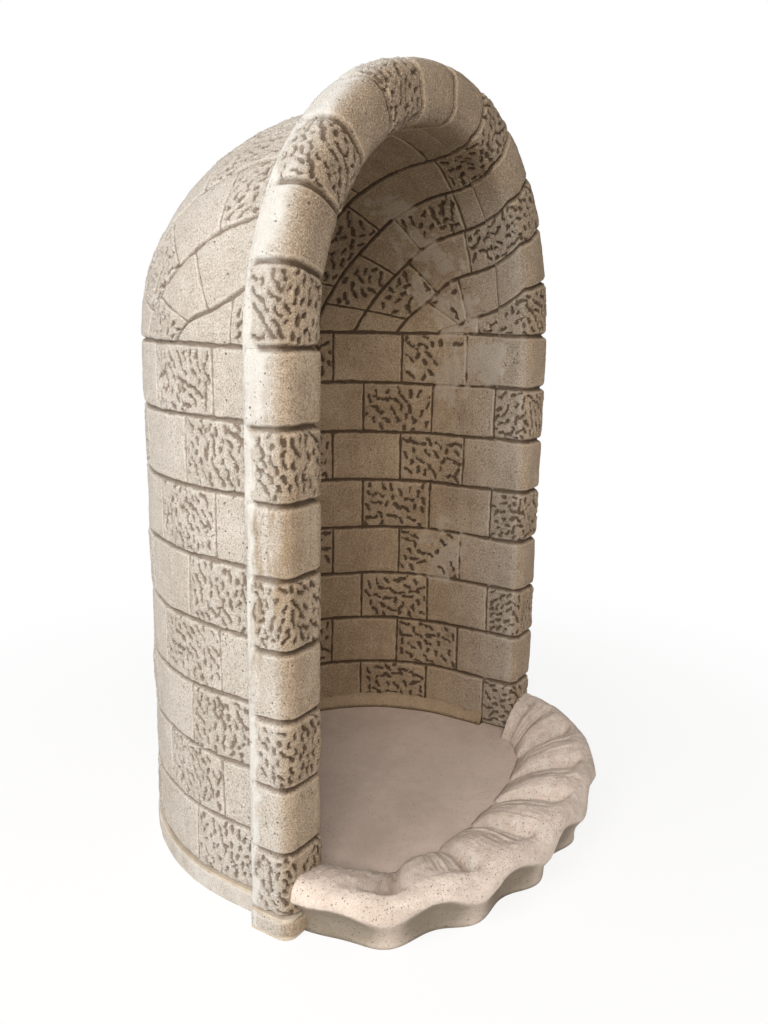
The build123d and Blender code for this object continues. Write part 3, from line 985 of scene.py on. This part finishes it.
class NicheFinishSettings(bpy.types.PropertyGroup):
    """Colours of the stone and of what lies on it."""

    outdoor_light: paint("Outside light", "Light tone of the outside", 0.76, 0.705, 0.645)
    outdoor_dark: paint("Outside dark", "Dark tone of the outside", 0.61, 0.55, 0.475)
    # Colour of the dirt in the outside's joints and chisel marks, which also paints the shade in them.
    outdoor_dirt: paint("Outside dirt", "Dirt in the outside's joints and marks", 0.185, 0.125, 0.078)
    # The inside's tones, darker and browner than the outside's, paint the shade inside the niche, with some
    # brown staining; its dirt colour also paints the shade in the inside's joints and marks.
    indoor_light: paint("Inside light", "Light tone of the inside", 0.53, 0.395, 0.265)
    indoor_dark: paint("Inside dark", "Dark tone of the inside", 0.38, 0.265, 0.165)
    indoor_dirt: paint("Inside dirt", "Dirt in the inside's joints and marks", 0.075, 0.044, 0.023)
    lime: paint("Lime", "Lime wash on the outside", 0.87, 0.855, 0.82)
    mortar: paint("Mortar", "Mortar smeared over the inside", 0.54, 0.46, 0.37)
    lip_light: paint("Lip light", "Light tone of the lip", 0.73, 0.625, 0.55)
    lip_dark: paint("Lip dark", "Dark tone of the lip", 0.59, 0.49, 0.425)
    # The lip's dirt colour paints the shade in its grooves' pockets and under its edge.
    lip_dirt: paint("Lip dirt", "Dirt in the lip's pockets", 0.16, 0.135, 0.095)
    floor_light: paint("Floor light", "Light tone of the floor", 0.65, 0.54, 0.475)
    floor_dark: paint("Floor dark", "Dark tone of the floor", 0.58, 0.475, 0.415)
    floor_dirt: paint("Floor dirt", "Dirt in the floor's holes", 0.13, 0.10, 0.08)
    slab_light: paint("Slab light", "Light tone of the slab", 0.58, 0.51, 0.42)
    slab_dark: paint("Slab dark", "Dark tone of the slab", 0.44, 0.37, 0.29)
    slab_dirt: paint("Slab dirt", "Dirt in the slab's holes", 0.12, 0.09, 0.06)


class NicheStageSettings(bpy.types.PropertyGroup):
    """Light and camera."""

    key: FloatProperty(name="Key", description="Power of the large soft lamp in watts", default=58.5)
    fill: FloatProperty(name="Fill", description="Strength of the light from all round", default=0.36)
    lens: FloatProperty(name="Lens", description="Focal length of the camera in millimetres", default=32.5)


class NicheSettings(bpy.types.PropertyGroup):
    """All settings of the niche."""

    stones: PointerProperty(type=NicheStoneSettings)
    outer_marks: PointerProperty(type=NicheMarkSettings)
    inner_marks: PointerProperty(type=NicheMarkSettings)
    lip: PointerProperty(type=NicheLipSettings)
    finishes: PointerProperty(type=NicheFinishSettings)
    stage: PointerProperty(type=NicheStageSettings)


def joint_set(settings):
    """Joints as depth, half width and half width of the flat bottom: level, upright, faint and frame."""
    bed = (settings.bed_depth, settings.bed_reach, 0.0013)
    head = (settings.head_depth, settings.head_reach, 0.0008)
    faint = (0.6 * settings.head_depth, 0.9 * settings.head_reach, 0.0006)
    edge = (settings.frame_depth, settings.frame_reach, 0.0014)
    return bed, head, faint, edge


class NICHE_OT_wall(bpy.types.Operator):
    """Lay the stones of the round wall, outside and inside"""

    bl_idname = "niche.wall"
    bl_label = "Wall Stones"

    def execute(self, context):
        sizes, settings = Sizes(), context.scene.niche
        bed, head, faint, _ = joint_set(settings.stones)
        nodes = [f"wall_segment_{n}" for n in range(1, 7)]
        halves = (("right", 0.0, 0.5, nodes[:3]), ("left", 0.5, 1.0, nodes[3:]))
        sides = (
            ("outside", sizes.wall_outer, 1.0, OUTSIDE_ODD, OUTSIDE_EVEN, 1, settings.outer_marks, faint,
             None),
            ("inside", sizes.opening, -1.0, INSIDE_ODD, INSIDE_EVEN, 0, settings.inner_marks, head,
             lambda p: smear_at(p, sizes)),
        )
        for side, (hand, first, last, replaced) in itertools.product(sides, halves):
            where, radius, facing, odd, even, even_start, marks, upright, smear = side
            total = wall_length(radius, sizes)
            shape = Shape()
            for course in range(COURSES):
                is_odd = course % 2 == 0
                half = odd if is_odd else even
                ends = [*half, *(total - e for e in reversed(half))]
                top = sizes.springing - course * sizes.course
                flush = facing < 0 and is_odd
                for n, (s0, s1) in enumerate(zip(ends, ends[1:])):
                    if not first <= (n + 0.5) / (len(ends) - 1) - 1e-6 <= last:
                        continue
                    lap = (n == 0 and flush, n == len(ends) - 2 and flush)
                    s0, s1 = s0 - LAP * lap[0], s1 + LAP * lap[1]
                    place = wall_place(sizes, radius, facing, s0, s1, top, sizes.course)
                    joints = (None if lap[0] else upright, None if lap[1] else upright, bed, bed)
                    tooled = (n + (0 if is_odd else even_start)) % 2
                    stone(shape, place, (s1 - s0, sizes.course), joints, tooled, WALL_BLOCK, FACE_SWELL,
                          settings.stones.step, smear, float(facing < 0), lap)
            lay(shape, f"wall_{where}_{hand}", marks, 0, replaced)
        return {"FINISHED"}


class NICHE_OT_frame(bpy.types.Operator):
    """Lay the stones of the jambs and the arch"""

    bl_idname = "niche.frame"
    bl_label = "Frame Stones"

    def execute(self, context):
        sizes, settings = Sizes(), context.scene.niche
        marks, step = settings.outer_marks, settings.stones.step
        _, head, _, edge = joint_set(settings.stones)
        section = Section(sizes, settings.stones.jamb_round)
        for side, name, draw in ((-1.0, "left_jamb", 2), (1.0, "right_jamb", 1)):
            shape = Shape()
            for course in range(1, COURSES + 1):
                tooled = course % 2 == 0
                place = jamb_place(side, sizes.springing - (course - 1) * sizes.course, sizes.course)
                frame_stone(shape, section, place, sizes.course, float(tooled), step, edge, sizes,
                            head if tooled else None)
            tall = sizes.floor - sizes.ground
            place = jamb_place(side, sizes.springing - COURSES * sizes.course, tall)
            frame_stone(shape, section, place, tall, 0.0, step, edge, sizes, proud=FOOT_PROUD)
            lay(shape, name + "_stones", marks, draw, [name])
        section = Section(sizes, settings.stones.arch_round)
        length = math.radians(WEDGE) * (sizes.opening + sizes.frame_outer) / 2
        shape = Shape()
        for n in range(VOUSSOIRS):
            tooled = float(n in TOOLED_VOUSSOIRS)
            frame_stone(shape, section, voussoir_place(sizes, n), length, tooled, step, edge, sizes)
        lay(shape, "arch_stones", marks, 3, [f"voussoir_{n:02d}" for n in range(1, VOUSSOIRS + 1)])
        return {"FINISHED"}


class NICHE_OT_dome(bpy.types.Operator):
    """Lay the stones of the half dome, outside and inside"""

    bl_idname = "niche.dome"
    bl_label = "Dome Stones"

    def execute(self, context):
        sizes, settings = Sizes(), context.scene.niche
        bed, head, faint, _ = joint_set(settings.stones)
        nodes = [f"dome_gore_{n}" for n in range(1, 7)] + [f"dome_crown_{n}" for n in range(1, 4)]
        outside, inside = (sizes.wall_outer, sizes.dome_rise, 1.0), (sizes.opening, sizes.opening, -1.0)
        shells = (
            ("dome_outside", outside, DOME_OUTSIDE, settings.outer_marks, faint, faint, None),
            ("dome_inside", inside, DOME_INSIDE, settings.inner_marks, None, head,
             lambda p: smear_at(p, sizes)),
        )
        front = 90.0 + sizes.leg * 1000
        for name, shell, bands, marks, at_arch, cross, smear in shells:
            radius, _, facing = shell
            shape = Shape()
            for side, (band, (crosses, faces)) in itertools.product((1.0, -1.0), enumerate(bands)):
                cuts = [front, *crosses, 0.0]
                joints = [at_arch, *(cross for _ in crosses), bed]
                for n, look in enumerate(faces):
                    place = dome_place(sizes, side, band, cuts[n], cuts[n + 1], *shell)
                    long = max(abs(cuts[n] - cuts[n + 1]) * radius * 0.012, 0.01)
                    stone(shape, place, (radius * math.radians(WEDGE), long), (bed, bed, *joints[n:n + 2]),
                          float(look == "t"), THIN_BLOCK, FACE_SWELL, settings.stones.step, smear,
                          float(facing < 0))
            lay(shape, name, marks, 5, nodes)
        return {"FINISHED"}


class NICHE_OT_base(bpy.types.Operator):
    """Dress the slab and floor, and lay the plinth and the cove of mortar at the wall's foot"""

    bl_idname = "niche.base"
    bl_label = "Plinth and Floor"

    def execute(self, context):
        sizes, settings = Sizes(), context.scene.niche
        for node, look in (("base_slab", "slab"), ("floor", "floor")):
            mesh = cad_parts[node].data
            mesh.materials.clear()
            mesh.materials.append(materials()[look])
        bed, _, faint, _ = joint_set(settings.stones)
        shape = Shape()
        total = wall_length(sizes.plinth, sizes)
        ends = [total * n / PLINTH_STONES for n in range(PLINTH_STONES + 1)]
        tall = sizes.floor - sizes.ground
        for s0, s1 in zip(ends, ends[1:]):
            place = wall_place(sizes, sizes.plinth, 1.0, s0, s1, sizes.floor, tall)
            stone(shape, place, (s1 - s0, tall), (faint, faint, bed, None), 0.0, THIN_BLOCK, PLINTH_SWELL,
                  settings.stones.step, lambda p: np.full(p.shape[:-1], 0.4))
        settle(shape.make("plinth_stones", 0.0008))
        stations = 260
        sunk = -0.004
        walk = np.linspace(0.0, wall_length(sizes.opening, sizes), stations)[:, None]
        x, y, nx, ny = wall_path(walk, sizes.opening, sizes)
        spots = columns(x, y, sizes.floor)
        tall = COVE_TALL + layered(spots, (0.003, 0.05, 31), (0.002, 0.013, 32))
        wide = COVE_WIDE + layered(spots, (0.003, 0.04, 33))
        inwards = columns(sunk, 0.0012, 0.003, wide * 0.6, wide, wide, sunk)[:, 0]
        up = columns(tall, tall, tall * 0.55, tall * 0.2, 0.0006, sunk, sunk)[:, 0]
        rows = columns(x - nx * inwards, y - ny * inwards, sizes.floor + up)
        shape = Shape()
        dark = np.tile((0.1, 0.1, 0.1, 0.15, 0.9, 1.0, 1.0), stations)
        swept_strip(shape, rows, recess=padded(dark, 2, 1.0), indoor=1.0)
        settle(shape.make("wall_cove", 0.0006))
        return {"FINISHED"}


class NICHE_OT_grout(bpy.types.Operator):
    """Smear grout along the joint between the frame and the shell behind it"""

    bl_idname = "niche.grout"
    bl_label = "Grout"

    def execute(self, context):
        sizes = Sizes()
        outer, back = sizes.frame_outer, sizes.frame_back
        jamb = np.linspace(sizes.floor, sizes.springing, 150)
        arch = np.linspace(math.pi, 0.0, 262)[1:-1]
        turn = np.concatenate([np.full(len(jamb), math.pi), arch, np.zeros(len(jamb))])
        base = np.concatenate([jamb, np.full(len(arch), sizes.springing), jamb[::-1]])
        across, up = np.cos(turn), np.sin(turn)
        foot = columns(outer * across, back, base + outer * up)
        down = GROUT_WIDE + layered(foot, (0.003, 0.014, 42), (0.003, 0.045, 41))
        lump = GROUT_THICK + layered(foot, (0.0007, 0.006, 43))
        wall = sizes.wall_outer * (1.0 - (1.0 - sizes.dome_rise / sizes.wall_outer) * up)
        reach = columns(
            outer - 0.0012, outer - 0.0018, outer * 0.6 + wall * 0.4, outer * 0.2 + wall * 0.8,
            wall + lump, wall - 0.0006, wall - 0.006, wall - 0.006,
        )
        deep = columns(
            back - 0.003, back + 0.0006, back + 0.0015 + lump, back + 0.004 + lump,
            back + down * 0.7, back + down, back + down, back - 0.003,
        )
        rows = columns(reach * across[:, None], deep, base[:, None] + reach * up[:, None])
        shape = Shape()
        swept_strip(shape, rows, smear=0.85)
        settle(shape.make("frame_grout", 0.0006))
        return {"FINISHED"}


class Ruffle:
    """How the lip rises and falls along its length: its flutes, its rolled edge and its foot."""

    def __init__(self, lobes):
        self.share = np.linspace(0.0, 1.0, lobes * LIP_STEPS + 1)
        self.lobe = np.minimum((self.share * lobes).astype(int), lobes - 1)
        self.within = self.share * lobes - self.lobe
        self.fluted, self.rolled = self.across(FLUTES, 1.5), self.across(ROLLS, 5.0)
        foot = self.across(ROLLS, 12.0)
        self.foot = (foot - foot.min()) / (foot.max() - foot.min())

    def across(self, outlines, softness):
        """The outlines of all lobes one after another, softened."""
        middle, first, last = (np.interp(self.within, *outline) for outline in outlines)
        picked = np.where(self.lobe == 0, first, middle)
        picked = np.where(self.lobe == self.lobe[-1], last, picked)
        half = LIP_STEPS // 2
        kernel = np.exp(-0.5 * (np.arange(-half, half + 1) / softness) ** 2)
        return np.convolve(np.pad(picked, half, mode="edge"), kernel / kernel.sum(), "valid")

    def rail(self, half, reach, front):
        """Points on half an ellipse in front of the frame, evenly spaced along it."""
        turn = np.linspace(math.pi, 0.0, 6001)
        line = np.stack([half * np.cos(turn), front - reach * np.sin(turn)], axis=-1)
        walked = np.concatenate([[0.0], np.cumsum(np.linalg.norm(np.diff(line, axis=0), axis=-1))])
        return np.stack([np.interp(self.share * walked[-1], walked, line[:, i]) for i in (0, 1)], axis=-1)


def lip_rows(ruffle, q, sizes, lip):
    """Lines across the lip, from the floor over a ridge or groove to the edge, and back underneath."""
    toe = ruffle.rail(lip.dish_half, lip.dish_reach, sizes.front)
    edge = ruffle.rail(sizes.lip_half, sizes.lip_reach, sizes.front)
    span = np.linalg.norm(edge - toe, axis=-1)[:, None]
    heading = (edge - toe) / span
    flute, roll, foot = ruffle.fluted[:, None], ruffle.rolled[:, None], ruffle.foot[:, None]
    width = span + 0.006 * (1.0 - roll)
    undercut = 0.92 * (0.0145 + 0.013 * foot) + 0.006 * (foot - roll)
    raised = 0.007 * np.exp(-np.minimum(ruffle.share, 1.0 - ruffle.share) / 0.035)
    crest = lip.ridge - 0.006 * (1.0 - roll) + raised[:, None]
    nose = 0.010 + 0.016 * roll
    ridge, groove_floor = np.interp(q, *RIDGE_LINE), np.interp(q, *GROOVE_LINE)
    top = (groove_floor + (ridge - groove_floor) * flute) * crest
    round_off = np.sqrt(np.clip(1.0 - (np.maximum(q - 0.80, 0.0) / 0.20) ** 2, 0.0, 1.0))
    z = np.where(q < 0.80, top, nose + (top - nose) * round_off)
    d = q * width - 0.005 * flute * np.clip(1.0 - 3.0 * q, 0.0, 1.0)
    fall = np.array(UNDERCUT)
    under = (sizes.floor + nose) * fall[:, 1] - sizes.floor
    closing = np.tile((-sizes.floor, -0.004), (len(span), 1))
    d = np.concatenate([d, width - undercut * fall[:, 0], 0.3 * width, 0.0 * width], axis=1)
    z = np.concatenate([z, under, closing], axis=1)
    x, y = (toe[:, None, i] + heading[:, None, i] * d for i in (0, 1))
    rows = np.stack([x, y, sizes.floor + z], axis=-1)
    # Lumps all over but at the foot, and fine ribs that follow the flutes.
    lumpy = np.arange(rows.shape[1]) < len(q) + len(fall) - 1
    ribs = columns((ruffle.share * LIP_LENGTH)[:, None], 0.06 * q * width, 0.0)
    rows[..., 2] += layered(rows, (0.0012, 0.020, 51), (0.0007, 0.008, 52), (0.0004, 0.0035, 53)) * lumpy
    rows[:, :len(q), 2] += 0.0009 * noise(ribs, 0.0048, 54) * smooth((0.84 - q) * 6) * smooth(q * 8)
    return rows


def lip_values(ruffle, q, hidden):
    """Painted shade in the grooves and under the edge, and a painted highlight on the rising flanks."""
    bare = 1.0 - ruffle.fluted[:, None]
    pit = np.exp(-(((q - 0.66) / 0.12) ** 2)) * bare ** 2.5
    valley = smooth((0.8 - q) / 0.1) * bare ** 2 * 0.35
    scoop = ruffle.rolled[:, None] * np.array(UNDERCUT_SHADE) + 0.35
    closing = np.ones((len(bare), hidden - len(UNDERCUT_SHADE)))
    recess = np.concatenate([np.maximum(pit, valley), scoop, closing], axis=1)
    # Painted highlight on the flanks that rise towards the light from the left, stored as smear.
    flank = smooth(np.gradient(ruffle.fluted) * 14)[:, None] * (smooth((0.82 - q) * 5) * smooth(q * 6))
    lime = np.concatenate([flank, np.zeros((len(bare), hidden))], axis=1)
    return {"recess": padded(recess, 2), "smear": padded(lime, 2)}


class NICHE_OT_lip(bpy.types.Operator):
    """Model the ruffled lip in front of the frame"""

    bl_idname = "niche.lip"
    bl_label = "Ruffled Lip"

    def execute(self, context):
        lip = context.scene.niche.lip
        ruffle = Ruffle(lip.lobes)
        stretches = ((0.0, 0.6, 16), (0.63, 0.86, 12), (0.885, 1.0, 9))
        q = np.concatenate([np.linspace(*stretch) for stretch in stretches])
        rows = lip_rows(ruffle, q, Sizes(), lip)
        shape = Shape()
        swept_strip(shape, rows, **lip_values(ruffle, q, rows.shape[1] - len(q)))
        nodes = [f"lip_lobe_{n}" for n in range(1, lip.lobes + 1)]
        settle(shape.make("ruffled_lip", 0.0), nodes, "lip")
        return {"FINISHED"}


class NICHE_OT_stage(bpy.types.Operator):
    """Set up the pale floor, the soft light and the camera"""

    bl_idname = "niche.stage"
    bl_label = "Stage"

    def execute(self, context):
        stage = context.scene.niche.stage
        self.lay_ground()
        self.light_sky(context.scene, stage.fill)
        for name, (place, aim, size, power, tone) in LAMPS.items():
            lamp = bpy.data.lights.new(name, "AREA")
            lamp.size, lamp.energy, lamp.color = size, stage.key * power, tone
            turn = (Vector(aim) - Vector(place)).to_track_quat("-Z", "Y")
            add_object(name, lamp, Matrix.Translation(place) @ turn.to_matrix().to_4x4())
        camera = bpy.data.cameras.new("camera")
        camera.lens, camera.sensor_width = stage.lens, SENSOR_WIDTH
        turn, pitch, roll = (math.radians(a) for a in CAMERA_ANGLES)
        back = Vector((math.sin(turn) * math.cos(pitch), -math.cos(turn) * math.cos(pitch), math.sin(pitch)))
        right = Vector((math.cos(turn), math.sin(turn), 0.0))
        level = Matrix((right, back.cross(right), back)).transposed()
        rolled = (level @ Matrix.Rotation(roll, 3, "Z")).to_4x4()
        context.scene.camera = add_object("camera", camera, Matrix.Translation(CAMERA_PLACE) @ rolled)
        context.scene.view_settings.view_transform = "Standard"
        return {"FINISHED"}

    def lay_ground(self):
        """The pale floor. The camera sees it white, but for a soft shadow round the niche."""
        mesh = bpy.data.meshes.new("studio_floor")
        corners = [(x * GROUND_HALF, y * GROUND_HALF, 0) for x, y in ((-1, -1), (1, -1), (1, 1), (-1, 1))]
        mesh.from_pydata(corners, [], [(0, 1, 2, 3)])
        sh = Shader("studio_floor")
        mesh.materials.append(sh.finish(GROUND_COLOUR, 0.9))
        white = sh.node("ShaderNodeEmission", 0, Color=WHITE, Strength=1.0)
        share = sh.camera_ray() * (0.84 + 0.16 * sh.ramp(sh.length(sh.place), 0.35, 1.1))
        lit = Value(sh, sh.surface.outputs[0])
        sh.feed(sh.tree.nodes["Material Output"].inputs["Surface"], sh.seen_as(share, lit, white))
        add_object("studio_floor", mesh)

    def light_sky(self, scene, fill):
        """Soft light from all round. The camera sees it white."""
        world = bpy.data.worlds.new("studio")
        scene.world = world
        world.use_nodes = True
        world.node_tree.nodes.clear()
        g = Graph(world.node_tree)
        lit = g.node("ShaderNodeBackground", 0, Color=SKY_COLOUR, Strength=fill)
        white = g.node("ShaderNodeBackground", 0, Color=WHITE, Strength=1.0)
        output = g.tree.nodes.new("ShaderNodeOutputWorld")
        g.feed(output.inputs[0], g.seen_as(g.camera_ray(), lit, white))


class NICHE_PT_panel(bpy.types.Panel):
    """Lists the niche's steps and settings"""

    bl_idname = "NICHE_PT_panel"
    bl_label = "Statue Niche"
    bl_space_type = "VIEW_3D"
    bl_region_type = "UI"
    bl_category = "Niche"

    def draw(self, context):
        for operator in OPERATORS:
            self.layout.operator(operator.bl_idname)
        for part in NicheSettings.__annotations__:
            group = getattr(context.scene.niche, part)
            column = self.layout.column(align=True)
            for name in group.__annotations__:
                column.prop(group, name)


OPERATORS = (
    NICHE_OT_wall, NICHE_OT_frame, NICHE_OT_dome, NICHE_OT_base, NICHE_OT_grout, NICHE_OT_lip, NICHE_OT_stage,
)
CLASSES = (
    NicheStoneSettings, NicheMarkSettings, NicheLipSettings, NicheFinishSettings, NicheStageSettings,
    NicheSettings, *OPERATORS, NICHE_PT_panel,
)


def register():
    for cls in CLASSES:
        bpy.utils.register_class(cls)
    bpy.types.Scene.niche = PointerProperty(type=NicheSettings)


def unregister():
    del bpy.types.Scene.niche
    for cls in reversed(CLASSES):
        bpy.utils.unregister_class(cls)


def main():
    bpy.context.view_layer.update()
    register()
    for name, value in INNER_MARKS.items():
        setattr(bpy.context.scene.niche.inner_marks, name, value)
    bpy.ops.niche.wall()
    bpy.ops.niche.frame()
    bpy.ops.niche.dome()
    bpy.ops.niche.base()
    bpy.ops.niche.grout()
    bpy.ops.niche.lip()
    bpy.ops.niche.stage()


if __name__ == "__main__":
    main()
